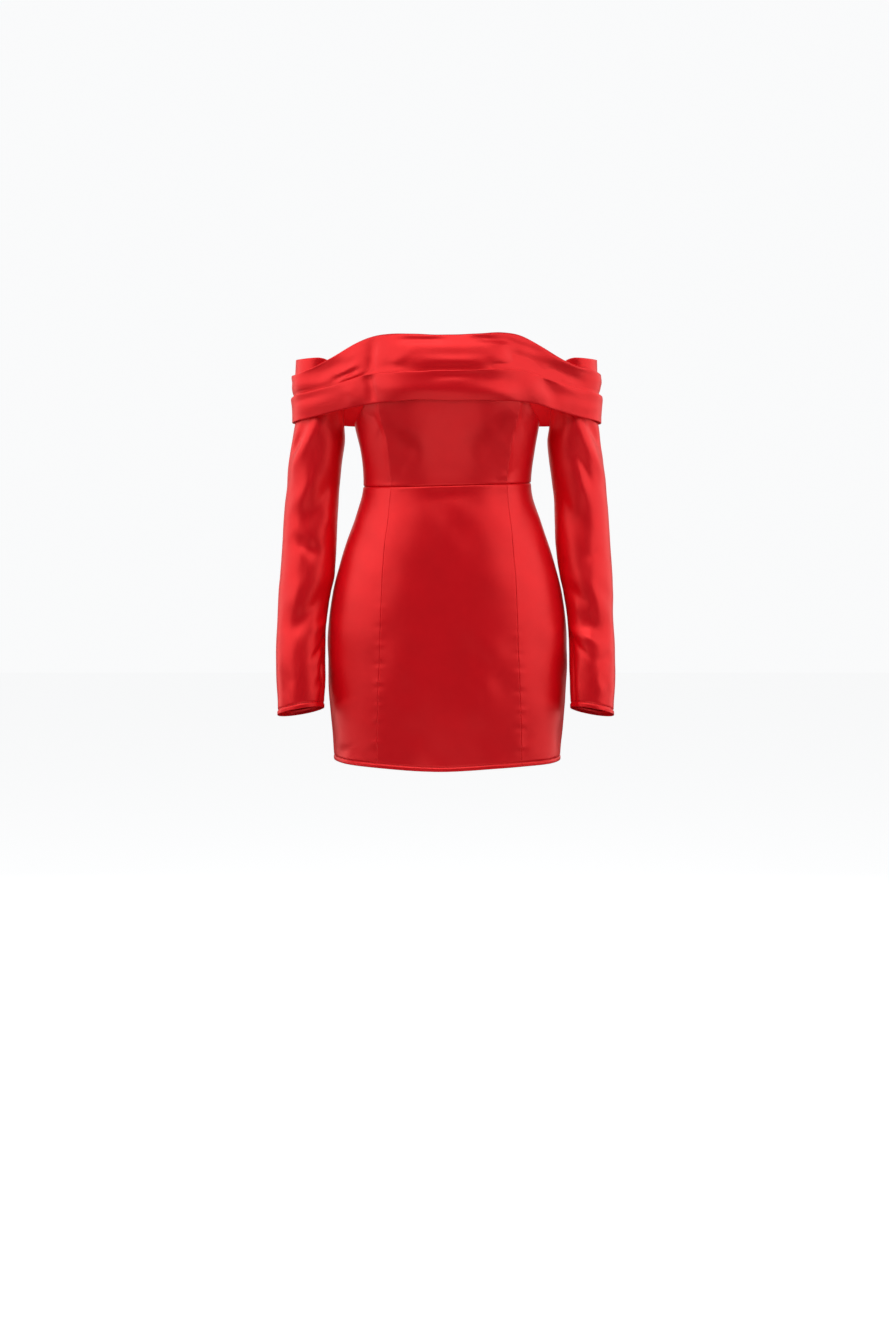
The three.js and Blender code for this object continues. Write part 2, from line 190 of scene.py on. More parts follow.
# Lines of the collar drape: its top fold, the top edge of its lower pleat, and its foot
DRAPE = table(
    "angle top pleat foot",
    (-180, 168, 128, 83),
    (-150, 168, 128, 83),
    (-120, 165, 126, 83.5),
    (-100, 157, 121.5, 86),
    (-90, 154, 121.5, 88),
    (-80, 158.5, 128.5, 93.5),
    (-70, 176.4, 136.8, 103),
    (-60, 195.5, 146.3, 109),
    (-50, 206, 152.8, 113),
    (-40, 208.7, 155.8, 115.6),
    (-20, 207.8, 157.4, 118.8),
    (0, 206.8, 158.5, 118),
    (20, 208.5, 159.3, 118.4),
    (40, 210.2, 160.2, 117.5),
    (50, 207, 156.9, 116),
    (60, 193, 148.7, 111.6),
    (70, 174, 138.4, 103),
    (80, 162, 130.5, 93),
    (90, 155.5, 125.5, 87.5),
    (100, 158, 123.5, 85),
    (120, 165, 126, 83.5),
    (150, 168, 128, 83),
    (180, 168, 128, 83),
)

# Plan angle where the front and the back of the drape meet, on both sides
DRAPE_SPLIT = 99

# Where lengths round the drape are measured: height, distance out, and step in degrees
DRAPE_LEVEL = 130
DRAPE_OUT = 3.0
DRAPE_STEP = 0.25

# Least distance of the drape from what it lies on, and the distance past which its seams roll in
DRAPE_CLEAR = 0.5
DRAPE_ROLL_FROM = 1.5

# How each line wanders up and down: height, length and seed
DRAPE_WAVES = {
    "top": (0.35, 70, 0.9),
    "pleat": (0.45, 58, 2.3),
    "foot": (0.35, 80, 4.1),
}

# Section of the collar drape, from the inside of its foot round both pleats and back down. Its
# columns are from_line, to_line, share of the way between them, rise above that, out from what
# the drape lies on, the pleat whose creases move it, and the samples of the curve there.
DRAPE_SECTION = [
    ("foot", "top", 0.0, 4.0, 0.6, None, 3),
    ("foot", "pleat", 0.0, 0.1, 0.6, None, 3),
    ("foot", "pleat", 0.0, -0.4, 1.7, None, 4),
    ("foot", "pleat", 0.0, 0.2, 2.9, None, 4),
    ("foot", "pleat", 0.0, 4.5, 3.3, "lower", 4),
    ("foot", "pleat", 0.36, 0.0, 4.3, "lower", 7),
    ("foot", "pleat", 0.72, 0.0, 5.2, "lower", 8),
    ("pleat", "top", 0.0, -3.2, 6.0, "lower", 6),
    ("pleat", "top", 0.0, -0.2, 6.1, None, 4),
    ("pleat", "top", 0.0, 0.4, 5.1, None, 4),
    ("pleat", "top", 0.0, -0.5, 4.0, None, 4),
    ("pleat", "top", 0.0, -4.0, 3.4, None, 3),
    ("pleat", "top", 0.0, -6.5, 2.8, None, 2),
    ("pleat", "top", 0.0, -6.2, 2.0, None, 2),
    ("pleat", "top", 0.0, -2.0, 1.3, None, 3),
    ("pleat", "top", 0.0, 4.0, 1.5, "upper", 5),
    ("pleat", "top", 0.26, 0.0, 3.4, "upper", 8),
    ("pleat", "top", 0.54, 0.0, 4.7, "upper", 9),
    ("pleat", "top", 0.8, 0.0, 5.1, "upper", 8),
    ("pleat", "top", 1.0, -3.4, 5.2, "upper", 6),
    ("pleat", "top", 1.0, -0.3, 5.0, None, 4),
    ("pleat", "top", 1.0, 0.4, 2.9, None, 4),
    ("pleat", "top", 1.0, -0.3, 0.8, None, 4),
    ("pleat", "top", 1.0, -4.0, 0.6, None, 3),
    ("foot", "top", 0.5, 0.0, 0.6, None, 8),
]

# Creases. Each runs from one angle and height to another. width is across it, height is how
# far it stands out, or how deep it goes where that is negative. All are drawn softer and
# fuller than the tables say. Towards its ends a crease fades and spreads: it fades from a share
# of its half length on, over another share of it and a length more.
CREASE = "angle z to_angle to_z width height"
CREASE_SOFTNESS = 1.2
CREASE_FULLNESS = 1.6
CREASE_FADE_FROM = 0.3
CREASE_FADE_SHARE = 0.9
CREASE_FADE_LENGTH = 5
CREASE_SPREAD = 0.35

TORSO_CREASES = table(
    CREASE,
    # the bust, and the cloth drawn across below it
    (-36, 92, -8, 58, 13, 1.1),
    (34, 104, 8, 66, 13, 1.1),
    (-50, 86, -27, 40, 15, -1.8),
    (46, 94, 27, 44, 16, -2.0),
    (-24, 26, 22, 20, 9, 0.5),
    (-49, 36, -40, 24, 5, -0.5),
    (-60, 5, -48, 4, 4, -0.7),
    (45, 6, 55, 7, 4, -0.7),
    (-62, 104, -50, 88, 5, -0.8),
    (-51, 80, -52, 70, 3, -0.5),
    (49, 100, 70, 84, 5, -0.6),
    (55, 17, 65, 25, 4, -0.4),
    # over the stomach and down the skirt
    (-30, -14, 32, -12, 8, -0.8),
    (-22, -90, 24, -300, 30, -1.7),
    (-36, -60, -30, -190, 22, 1.1),
    (30, -60, 36, -150, 20, 0.9),
    (-34, -240, -26, -330, 16, 0.8),
    (30, -250, 20, -330, 18, 0.8),
    (-64, -290, -63, -420, 24, 1.2),
    (64, -280, 63, -420, 24, 2.4),
    (-53, -357, -72, -373, 5, -0.9),
    (-44, -352, -60, -366, 5, 0.5),
    (52, -340, 47, -372, 6, -0.6),
    (60, -180, 62, -300, 10, -0.5),
    (-62, -200, -58, -310, 10, -0.5),
    # behind
    (150, -6, 210, -8, 9, -1.0),
    (118, -18, 140, -30, 7, -0.8),
    (-118, -16, -142, -32, 8, -0.9),
    (165, -60, 196, -64, 12, -0.9),
    (128, -210, 150, -290, 16, -1.0),
    (-130, -200, -150, -300, 18, -1.0),
    (170, -250, 174, -350, 12, -0.7),
    (150, 30, 120, 52, 8, -0.8),
    (-150, 28, -118, 54, 8, -0.9),
    (158, 74, 132, 82, 7, 0.6),
    (-160, 70, -134, 84, 7, 0.6),
    (112, -352, 126, -372, 6, -0.7),
    (-140, -350, -128, -374, 6, -0.6),
)

RIGHT_SLEEVE_CREASES = table(
    CREASE,
    # from the head, across the front
    (-12, 104, 56, 16, 7.5, 1.7),
    (24, 100, 66, 36, 6, -2.0),
    (46, 86, 70, 54, 5, 0.7),
    (-2, 16, 36, -30, 9, 1.3),
    (-56, 14, 14, -58, 12, -3.2),
    (-52, -4, -46, -20, 5, 0.7),
    (-48, -36, -42, -54, 5, 0.7),
    # about the elbow
    (30, -70, -26, -98, 8, -2.6),
    (8, -130, 22, -170, 9, 0.8),
    (-60, -146, 24, -206, 10, -3.0),
    (-80, -187, -32, -202, 5, 1.5),
    (-84, -206, -32, -240, 3.2, -2.0),
    (-66, -222, -34, -250, 4, 0.8),
    (-78, -240, -40, -281, 4, -1.6),
    (-68, -214, -62, -322, 3.2, -2.4),
    (-50, -226, -48, -300, 6, 1.1),
    (22, -262, 40, -290, 7, -0.7),
    # behind
    (150, 90, 200, 40, 8, -1.8),
    (130, 40, 190, -10, 10, 1.2),
    (230, 20, 170, -44, 12, -2.4),
    (235, -70, 150, -98, 7, -2.0),
    (240, -96, 160, -112, 6, 1.2),
    (236, -120, 150, -140, 7, -1.8),
    (120, -150, 190, -215, 10, -1.4),
    (230, -200, 180, -250, 6, -1.5),
    (200, -262, 160, -290, 6, 0.6),
)

LEFT_SLEEVE_CREASES = table(
    CREASE,
    # from the head, across the front
    (-12, 104, 64, 10, 7.5, 1.8),
    (22, 100, 74, 48, 6, -2.0),
    (-13, 32, 13, -24, 7, 1.3),
    (2, 46, 27, 0, 5, -1.5),
    (-75, 0, 5, -64, 13, -3.0),
    (-56, -18, -44, -36, 5, 0.7),
    # about the elbow
    (-1, -101, 33, -90, 5, -0.8),
    (-62, -101, -52, -106, 4, -0.6),
    (-12, -119, 32, -174, 8, 1.1),
    (-52, -138, -9, -165, 8, -1.4),
    (-34, -176, 38, -211, 12, -3.3),
    (-82, -196, 22, -218, 5, 1.7),
    (-84, -206, -70, -207, 5, -2.2),
    (-64, -208, -10, -239, 3, -1.4),
    (44, -233, 6, -246, 6, -1.1),
    (-64, -212, -58, -324, 3.2, -2.6),
    (-46, -236, -42, -310, 6, 1.1),
    (-2, -259, 30, -288, 6, 0.8),
    (16, -262, 44, -292, 6, -0.6),
    # behind
    (140, 92, 196, 50, 8, -1.7),
    (126, 46, 186, -4, 10, 1.2),
    (226, 10, 168, -50, 12, -2.3),
    (238, -78, 156, -92, 7, -1.9),
    (236, -104, 150, -120, 6, -1.7),
    (240, -128, 160, -152, 6, 1.1),
    (124, -160, 196, -210, 9, -1.5),
    (232, -206, 176, -240, 5, -1.4),
    (196, -266, 164, -288, 6, 0.6),
)

UPPER_PLEAT_CREASES = table(
    CREASE,
    # a shallow trough under the top fold, and the swell below it
    (-35, 200, -2, 200, 3.0, -0.8),
    (18, 202, 44, 200, 3.4, -1.3),
    (40, 200, 62, 184, 3.4, -1.0),
    (-34, 190, 40, 191, 6, 0.3),
    (-20, 172, 30, 171, 5, 0.8),
    # the turn from the bust towards the right arm, and the two short creases beyond it
    (-50, 200, -48, 156, 6, -1.9),
    (-34, 176, -28, 154, 14, 0.5),
    (-44, 166, -22, 164, 5, -1.2),
    (-66, 172, -55, 186, 6, 0.7),
    (-80, 148, -60, 176, 8, -2.0),
    (-69, 147, -57, 161, 2.6, -1.8),
    (-66, 152, -56, 168, 4.0, 1.2),
    (-65, 145, -54, 155, 3.0, 1.0),
    (-66, 139, -51, 154, 2.4, -1.6),
    (-84, 136, -74, 147, 5, 0.5),
    # towards the left arm
    (38, 184, 60, 168, 8, -2.4),
    (58, 170, 84, 138, 7, -2.3),
    (26, 165, 50, 162, 4.5, -2.0),
    (48, 164, 70, 147, 4.5, -2.2),
    (62, 182, 78, 160, 6, 1.2),
    (26, 176, 40, 178, 9, 0.6),
    (60, 184, 80, 156, 6, 0.9),
    (66, 170, 84, 150, 3.5, -0.5),
    (80, 150, 98, 140, 4, 0.6),
    # round the arms and behind
    (-99, 140, -84, 146, 4, -0.6),
    (110, 150, 140, 143, 5, -0.8),
    (132, 152, 176, 154, 5, 0.6),
    (150, 143, 182, 140, 5, -0.8),
    (-112, 150, -140, 142, 5, -0.8),
    (-134, 153, -170, 155, 5, 0.6),
    (-150, 142, -176, 141, 5, -0.7),
)

LOWER_PLEAT_CREASES = table(
    CREASE,
    (-12, 150, 18, 151, 4, -0.8),
    (12, 149, 48, 143, 8, -2.0),
    (-46, 136, 22, 129, 8, 1.0),
    (20, 129, 42, 126, 6, 0.9),
    (-49, 158, -46, 118, 6, -2.2),
    (-60, 140, -56, 112, 9, 0.9),
    (50, 148, 57, 120, 9, 0.8),
    (58, 148, 68, 116, 8, -2.0),
    (80, 134, 92, 112, 7, 0.8),
    (68, 140, 78, 116, 8, 0.8),
    (-84, 104, -64, 122, 7, 0.6),
    (-88, 112, -70, 130, 4, -0.5),
    (62, 136, 82, 114, 6, -0.7),
    (74, 112, 90, 104, 5, 0.5),
    (106, 106, 138, 104, 6, -0.8),
    (140, 110, 184, 112, 6, 0.6),
    (-110, 108, -136, 104, 6, -0.8),
    (-142, 110, -172, 113, 6, 0.6),
)

# How much the seams beside the front centre panel pucker at each height
PUCKER = table(
    "z height",
    (-392, 0.5),
    (-330, 0.75),
    (-250, 0.65),
    (-180, 0.3),
    (-30, 0.2),
    (0, 0.6),
    (30, 0.25),
    (110, 0.6),
)
PUCKER_REACH = 7
PUCKER_LENGTH = 17

# How sharply the side front panels turn away at their seams. The centre panel turns less.
SEAM_TURN = table(
    "z slope",
    (-392, 0.05),
    (-60, 0.1),
    (0, 0.26),
    (40, 0.42),
    (110, 0.48),
)
SEAM_TURN_WIDTH = 62
CENTRE_TURN_SHARE = 0.4

# Where creases die out under the collar, and how slowly
TORSO_CALM_LEVEL = 98
TORSO_CALM_LENGTH = 16
SLEEVE_CALM_LEVEL = 92
SLEEVE_CALM_LENGTH = 14

# Slow unevenness of the cloth: its height, its lengths across and up, and how its waves slant
TORSO_UNEVEN = 1.7
TORSO_UNEVEN_ACROSS = 88
TORSO_UNEVEN_UP = 110
TORSO_UNEVEN_SLANT = 0.3
TORSO_UNEVEN_LEAN = 0.2
SLEEVE_UNEVEN = 0.8
SLEEVE_UNEVEN_ACROSS = 62
SLEEVE_UNEVEN_UP = 85
SLEEVE_UNEVEN_SLANT = 0.4

# Sines that add up to an uneven wave: height, pace, and share of the seed
WAVE_PARTS = (
    (1.0, 1.0, 1.0),
    (0.7, 1.63, 2.1),
    (0.5, 0.58, 3.7),
)

# Hems and their stitching. The doubled cloth of a hem starts to end a little below its stitches.
SKIRT_STITCH_RISE = 5.0
CUFF_STITCH_RISE = 6.0
HEM_FULLNESS = 0.7
HEM_EDGE = 0.4
HEM_EDGE_LENGTH = 1.2
STITCH_SINK = 1.3
STITCH_WIDTH = 1.1
STITCH_LENGTH = 2.6
STITCH_SPACING = 3.2
STITCH_RADIUS = 0.26
STITCH_AHEAD = 0.5
STITCH_SIDES = 6
SKIRT_PATH_STEP = 0.5
CUFF_PATH_STEP = 1.5
STITCH_PROFILE = table(
    "share lift radius",
    (0.0, -0.25, 0.35),
    (0.12, 0.1, 0.9),
    (0.5, 0.2, 1.0),
    (0.88, 0.1, 0.9),
    (1.0, -0.25, 0.35),
)


def mix(a, b, share):
    return a + (b - a) * share


def bell(value):
    return np.exp(-value * value)


def ease(value):
    """0 below 0, 1 above 1, and smooth between."""
    t = np.clip(value, 0, 1)
    return t * t * (3 - 2 * t)


def column(rows, key, name):
    """A smooth function through one column of a table, flat beyond its ends."""
    x, y = rows[key], rows[name]
    last = len(x) - 1
    before = np.maximum(np.arange(last + 1) - 1, 0)
    after = np.minimum(np.arange(last + 1) + 1, last)
    slope = (y[after] - y[before]) / (x[after] - x[before])

    def value(at):
        at = np.clip(at, x[0], x[-1])
        i = np.clip(np.searchsorted(x, at, side="right") - 1, 0, last - 1)
        span = x[i + 1] - x[i]
        t = (at - x[i]) / span
        back = 1 - t
        ends = y[i] * (1 + 2 * t) * back**2 + y[i + 1] * t**2 * (3 - 2 * t)
        return ends + span * t * back * (slope[i] * back - slope[i + 1] * t)

    return value


torso_half = column(TORSO, "z", "half")
torso_front = column(TORSO, "z", "front")
torso_back = column(TORSO, "z", "back")
torso_square = column(TORSO, "z", "square")
front_seam_half = column(FRONT_SEAM, "z", "half")
bodice_top = column(BODICE_TOP, "angle", "z")
sleeve_depth = column(SLEEVE, "z", "depth")
sleeve_ahead = column(SLEEVE, "z", "ahead")
drape_lines = {name: column(DRAPE, "angle", name) for name in ("top", "pleat", "foot")}
pucker_height = column(PUCKER, "z", "height")
seam_turn = column(SEAM_TURN, "z", "slope")


class Arm:
    """One sleeve: which side it is on, its sections and its creases."""

    def __init__(self, name, side, word, creases):
        self.name = name
        self.side = side
        self.mid = column(SLEEVE, "z", word + "_mid")
        self.half = column(SLEEVE, "z", word + "_half")
        self.creases = creases


ARMS = [
    Arm("sleeve_right", -1, "right", RIGHT_SLEEVE_CREASES),
    Arm("sleeve_left", 1, "left", LEFT_SLEEVE_CREASES),
]


# Distances of the first points from an edge that is sewn, hemmed or free
SEWN = [0, 0.3, 0.7, 1.2, 1.9, 2.9, 4.3]
HEMMED = [0, 0.8, 1.8, 2.8, 3.6, 4.2, 4.7, 5.2, 5.8, 6.4, 7.1, 8.2, 10]
FREE = [0]


def add_object(name, data):
    thing = bpy.data.objects.new(name, data)
    bpy.context.scene.collection.objects.link(thing)
    return thing


# Meshes of cloth
def place(angle, radius, z):
    """Points at plan angles, distances from the middle and heights."""
    turn = np.radians(angle)
    return np.stack(np.broadcast_arrays(radius * np.sin(turn), -radius * np.cos(turn), z), -1)


def stations(length, step, first, last):
    """Shares of a length, closer together near its ends, as first and last say."""
    start = np.array(first)
    end = length - np.array(last)[::-1]
    count = max(1, round((end[0] - start[-1]) / step))
    middle = np.linspace(start[-1], end[0], count + 1)[1:-1]
    return np.concatenate([start, middle, end]) / length


def rolled(distance, roll=SEAM_ROLL, sink=SEAM_SINK):
    """How far a sewn edge turns in, at a distance from its seam."""
    near = 1 - np.clip(distance / roll, 0, 1)
    return sink * (1 - np.sqrt(1 - near * near * ROLL_SHARE))


def relief(creases, spread, angle, z):
    """Height of all the creases at a point. spread turns an angle into a length."""
    total = np.zeros(np.broadcast(angle, z).shape)
    for from_angle, from_z, to_angle, to_z, width, height in zip(*creases.values()):
        mid_angle = (from_angle + to_angle) / 2
        off = (angle - mid_angle + 180) % 360 - 180
        across = spread(mid_angle + off, z) - spread(mid_angle, z)
        half_run = (spread(to_angle, z) - spread(from_angle, z)) / 2
        half_rise = (to_z - from_z) / 2
        half_length = np.hypot(half_run, half_rise)
        rise = z - (from_z + to_z) / 2
        along = (across * half_run + rise * half_rise) / half_length
        aside = (across * half_rise - rise * half_run) / half_length
        fading = CREASE_FADE_SHARE * half_length + CREASE_FADE_LENGTH
        fade = 1 - ease((np.abs(along) - CREASE_FADE_FROM * half_length) / fading)
        spreading = 1 + CREASE_SPREAD * np.abs(along) / half_length
        shape = bell(aside / (CREASE_SOFTNESS * width * spreading))
        total += CREASE_FULLNESS * height * fade * shape
    return total


def wave(at, length, seed):
    """An uneven wave, from -1 to 1."""
    turn = at / length * 2 * math.pi
    total = 0
    full = 0
    for height, pace, share in WAVE_PARTS:
        total = total + height * np.sin(pace * turn + share * seed)
        full += height
    return total / full


def rim(near, far, near_before, far_before):
    """Points round a free edge, from one face of the cloth to the other."""
    middle = (near + far) / 2
    outward = middle - (near_before + far_before) / 2
    outward /= np.linalg.norm(outward, axis=-1, keepdims=True)
    thickness = np.linalg.norm(near - far, axis=-1, keepdims=True)
    points = []
    for turn in np.radians(RIM_TURNS):
        across = (near - far) / 2 * math.cos(turn)
        points.append(middle + across + outward * thickness / 2 * math.sin(turn))
    return np.stack(points, 1)


def wall_section(outside, inside, free_start, free_end):
    """Closed sections round a wall, with a rounded edge where it ends in no seam.

    outside and inside hold a row of points for each section, and the answer runs up the
    outside, over the end, down the inside and back under the start.
    """
    parts = [outside]
    if free_end:
        parts.append(rim(outside[:, -1], inside[:, -1], outside[:, -2], inside[:, -2]))
    parts.append(inside[:, ::-1])
    if free_start:
        parts.append(rim(inside[:, 0], outside[:, 0], inside[:, 1], outside[:, 1]))
    return np.concatenate(parts, 1)


def cloth(name, sections, across, wrap=False, cap=None):
    """A closed mesh lofted through closed sections.

    across is each section's place along u. wrap joins the last section to the first. cap closes
    the first and last: in strips from face to face of the cloth, or with one plane.
    """
    count, size = sections.shape[:2]
    strips = count if wrap else count - 1
    shape = (strips, size)
    strip = np.arange(strips)[:, None]
    low = np.arange(size)[None, :]
    high = (low + 1) % size
    here = strip * size
    beyond = (strip + 1) % count * size
    corners = np.stack([here + low, beyond + low, beyond + high, here + high], -1)
    faces = corners.reshape(-1, 4).tolist()

    steps = np.linalg.norm(np.diff(sections, axis=1, append=sections[:, :1]), axis=2)
    along = np.concatenate([[0], np.cumsum(steps.mean(0))])
    u = np.broadcast_to(across[strip], shape)
    next_u = np.broadcast_to(across[strip + 1], shape)
    v = np.broadcast_to(along[low], shape)
    next_v = np.broadcast_to(along[low + 1], shape)
    corner_u = np.stack([u, next_u, next_u, u], -1)
    corner_v = np.stack([v, v, next_v, next_v], -1)
    uv = np.stack([corner_u, corner_v], -1).reshape(-1, 2)

    last = (count - 1) * size
    if cap == "strips":
        for first, flip in ((0, False), (last, True)):
            for k in range(size // 2 - 1):
                far = first + size - 1 - k
                ring = [first + k, first + k + 1, far - 1, far]
                faces.append(ring[::-1] if flip else ring)
    if cap == "plane":
        faces.append(list(range(size)))
        faces.append(list(range(last + size - 1, last - 1, -1)))

    mesh = bpy.data.meshes.new(name)
    mesh.from_pydata((sections.reshape(-1, 3) * MM).tolist(), [], faces)
    layer = mesh.uv_layers.new(name="cloth")
    every_uv = np.zeros((len(mesh.loops), 2))
    every_uv[: len(uv)] = uv * MM
    layer.uv.foreach_set("vector", every_uv.ravel())
    mesh.shade_smooth()
    mesh.update()
    return add_object(name, mesh)


# Body of the dress
def torso_radius(angle, z, out):
    """Distance of the body's surface from the middle, moved out."""
    turn = np.radians(angle)
    side = torso_half(z) + out
    depth = np.where(np.cos(turn) > 0, torso_front(z), torso_back(z)) + out
    power = torso_square(z)
    across = np.abs(np.sin(turn) / side) ** power
    along = np.abs(np.cos(turn) / depth) ** power
    return (across + along) ** (-1 / power)


def front_seam_angle(side, z):
    """Plan angle of the seam beside the front centre panel."""
    x = front_seam_half(z) + side * FRONT_PANEL_SHIFT
    power = torso_square(z)
    y = torso_front(z) * (1 - (x / torso_half(z)) ** power) ** (1 / power)
    return side * np.degrees(np.arctan2(x, y))


def waist_level(angle):
    return WAIST_LEVEL + WAIST_RISE * np.sin(np.radians(angle))


def hem_level(angle):
    return HEM_LEVEL - HEM_DIP * bell((angle - HEM_DIP_AT) / HEM_DIP_WIDTH)


def torso_spread(angle, z):
    """Length round the body from the front, near enough for placing creases."""
    wide = torso_half(z) * TORSO_WIDTH_SHARE
    deep = torso_front(z) * (1 - TORSO_WIDTH_SHARE)
    return np.radians(angle) * (wide + deep)


def torso_relief(angle, z):
    """Height of the creases, puckers and turns of the cloth over the plain body."""
    across = torso_spread(angle, z)
    calm = 1 - ease((z - TORSO_CALM_LEVEL) / TORSO_CALM_LENGTH)
    height = relief(TORSO_CREASES, torso_spread, angle, z) * calm
    for side in (-1, 1):
        off = side * (across - torso_spread(front_seam_angle(side, z), z))
        near = bell(off / PUCKER_REACH)
        height = height + pucker_height(z) * near * wave(z, PUCKER_LENGTH, seed=1.3 + side) * calm
        for distance, turned in ((off, 1), (-off, CENTRE_TURN_SHARE)):
            share = np.clip(distance / SEAM_TURN_WIDTH, 0, 1)
            height = height - turned * seam_turn(z) * SEAM_TURN_WIDTH * share * (1 - share) ** 2
    slow_across = wave(across + TORSO_UNEVEN_SLANT * z, TORSO_UNEVEN_ACROSS, seed=0.4)
    slow_up = wave(z - TORSO_UNEVEN_LEAN * angle, TORSO_UNEVEN_UP, seed=2.2)
    return height + TORSO_UNEVEN * slow_across * slow_up * calm


def hem_relief(rise, stitch_rise):
    """The turned-up hem, and the line where it is stitched down."""
    doubled = HEM_FULLNESS * (1 - ease((rise - stitch_rise + HEM_EDGE) / HEM_EDGE_LENGTH))
    return doubled - STITCH_SINK * bell((rise - stitch_rise) / STITCH_WIDTH)


def panel(name, start, end, low, high, level, hem):
    """One panel of the body between two seams, from its low line to its high line.

    level is the height where its width is measured. hem tells a skirt panel from a bodice one.
    """
    middle = torso_radius((start(level) + end(level)) / 2, level, 0)
    width = math.radians(end(level) - start(level)) * middle
    share = stations(width, GRID, SEWN, SEWN)
    sewn = mix(start(level), end(level), share)
    bottom, top = low(sewn), high(sewn)
    up = stations(np.mean(top - bottom), GRID, HEMMED if hem else SEWN, SEWN if hem else FREE)
    z = mix(bottom[:, None], top[:, None], up[None, :])
    gap = np.degrees(SEAM_GAP / 2 / torso_radius(start(z), z, 0))
    angle = mix(start(z) + gap, end(z) - gap, share[:, None])
    local = np.radians(end(z) - start(z)) * torso_radius(angle, z, 0)
    out = torso_relief(angle, z)
    out = out - np.maximum(rolled(local * share[:, None]), rolled(local * (1 - share[:, None])))
    if hem:
        out = out - rolled(top[:, None] - z, WAIST_ROLL, WAIST_SINK)
        out = out + hem_relief(z - bottom[:, None], SKIRT_STITCH_RISE)
    else:
        out = out - rolled(z - bottom[:, None], WAIST_ROLL, WAIST_SINK)
    outside = place(angle, torso_radius(angle, z, out), z)
    inner = angle + np.degrees(SEAM_SLANT / torso_radius(angle, z, 0))
    inside = place(inner, torso_radius(inner, z, out - WALL), z)
    sections = wall_section(outside, inside, free_start=hem, free_end=not hem)
    return cloth(name + "_cloth", sections, share * width, cap="strips")


SEAMS = {
    "right_back": lambda z: -CENTRE_BACK + 0 * z,
    "right_side": lambda z: -SIDE_SEAM + 0 * z,
    "right_front": lambda z: front_seam_angle(-1, z),
    "left_front": lambda z: front_seam_angle(1, z),
    "left_side": lambda z: SIDE_SEAM + 0 * z,
    "left_back": lambda z: CENTRE_BACK + 0 * z,
}
PANELS = [
    ("back_right", "right_back", "right_side"),
    ("side_front_right", "right_side", "right_front"),
    ("front_centre", "right_front", "left_front"),
    ("side_front_left", "left_front", "left_side"),
    ("back_left", "left_side", "left_back"),
]


def body_panels():
    pieces = {}
    for name, start, end in PANELS:
        edges = SEAMS[start], SEAMS[end]
        pieces["bodice_" + name] = panel(
            "bodice_" + name,
            *edges,
            low=lambda angle: waist_level(angle) + WAIST_GAP / 2,
            high=lambda angle: bodice_top(np.abs(angle)),
            level=BODICE_SEAM_LEVEL,
            hem=False,
        )
        pieces["skirt_" + name] = panel(
            "skirt_" + name,
            *edges,
            low=hem_level,
            high=lambda angle: waist_level(angle) - WAIST_GAP / 2,
            level=HEM_LEVEL,
            hem=True,
        )
    return pieces


# Sleeves
def cuff_level(turn):
    turn = np.radians(turn)
    return CUFF_LEVEL + CUFF_FRONT_RISE * np.cos(turn) - CUFF_INNER_RISE * np.sin(turn)


def head_level(turn):
    outer = HEAD_OUTER_DROP * np.maximum(np.sin(np.radians(turn)), 0)
    from_underarm = np.abs((turn + 270) % 360 - 180)
    return HEAD_LEVEL - outer - UNDERARM_DROP * bell(from_underarm / UNDERARM_WIDTH)


def sleeve_relief(arm, turn, z):
    """Height of the creases and the seam of the cloth over the plain sleeve."""
    def spread(angle, height):
        return np.radians(angle) * (arm.half(height) + sleeve_depth(height)) / 2

    calm = 1 - ease((z - SLEEVE_CALM_LEVEL) / SLEEVE_CALM_LENGTH)
    sunk = SLEEVE_SINK * bell((z - SLEEVE_SINK_LEVEL) / SLEEVE_SINK_LENGTH)
    height = relief(arm.creases, spread, turn, z) * calm - sunk
    off = spread((turn - UNDERARM_SEAM + 180) % 360 - 180, z)
    puckers = UNDERARM_PUCKER * bell(off / UNDERARM_PUCKER_REACH)
    puckers = puckers * wave(z, UNDERARM_PUCKER_LENGTH, seed=0.8 + arm.side)
    seam = UNDERARM_SEAM_SINK * bell(off / UNDERARM_SEAM_WIDTH)
    slanted = spread(turn, z) + SLEEVE_UNEVEN_SLANT * z
    slow_across = wave(slanted, SLEEVE_UNEVEN_ACROSS, seed=1.1 + arm.side)
    slow_up = wave(z, SLEEVE_UNEVEN_UP, seed=0.3)
    return height - seam + (puckers + SLEEVE_UNEVEN * slow_across * slow_up) * calm


def sleeve_place(arm, turn, z, out):
    angle = np.radians(turn)
    across = (arm.half(z) + out) * np.sin(angle)
    along = (sleeve_depth(z) + out) * np.cos(angle)
    return np.stack([arm.side * (arm.mid(z) + across), -sleeve_ahead(z) - along, z + 0 * along], -1)


def sleeve_tube(arm):
    turn = arm.side * np.linspace(0, 360, SLEEVE_COLUMNS, endpoint=False)[:, None]
    low, high = cuff_level(turn), head_level(turn)
    up = stations(np.mean(high - low), GRID, HEMMED, FREE)
    z = mix(low, high, up[None, :])
    out = sleeve_relief(arm, turn + 0 * z, z) + hem_relief(z - low, CUFF_STITCH_RISE)
    outside = sleeve_place(arm, turn, z, out)
    inside = sleeve_place(arm, turn, z, out - WALL)
    sections = wall_section(outside, inside, free_start=True, free_end=True)
    across = np.linspace(0, SLEEVE_GIRTH, SLEEVE_COLUMNS + 1)
    return cloth(arm.name + "_cloth", sections, across, wrap=True)


# Collar drape, drawn taut round the bust, the back and both sleeve heads
def torso_reach(turn, z):
    """How far the body reaches in a direction."""
    depth = np.where(np.cos(turn) > 0, torso_front(z), torso_back(z))
    power = torso_square(z) / (torso_square(z) - 1)
    across = np.abs(torso_half(z) * np.sin(turn)) ** power
    along = np.abs(depth * np.cos(turn)) ** power
    return (across + along) ** (1 / power)


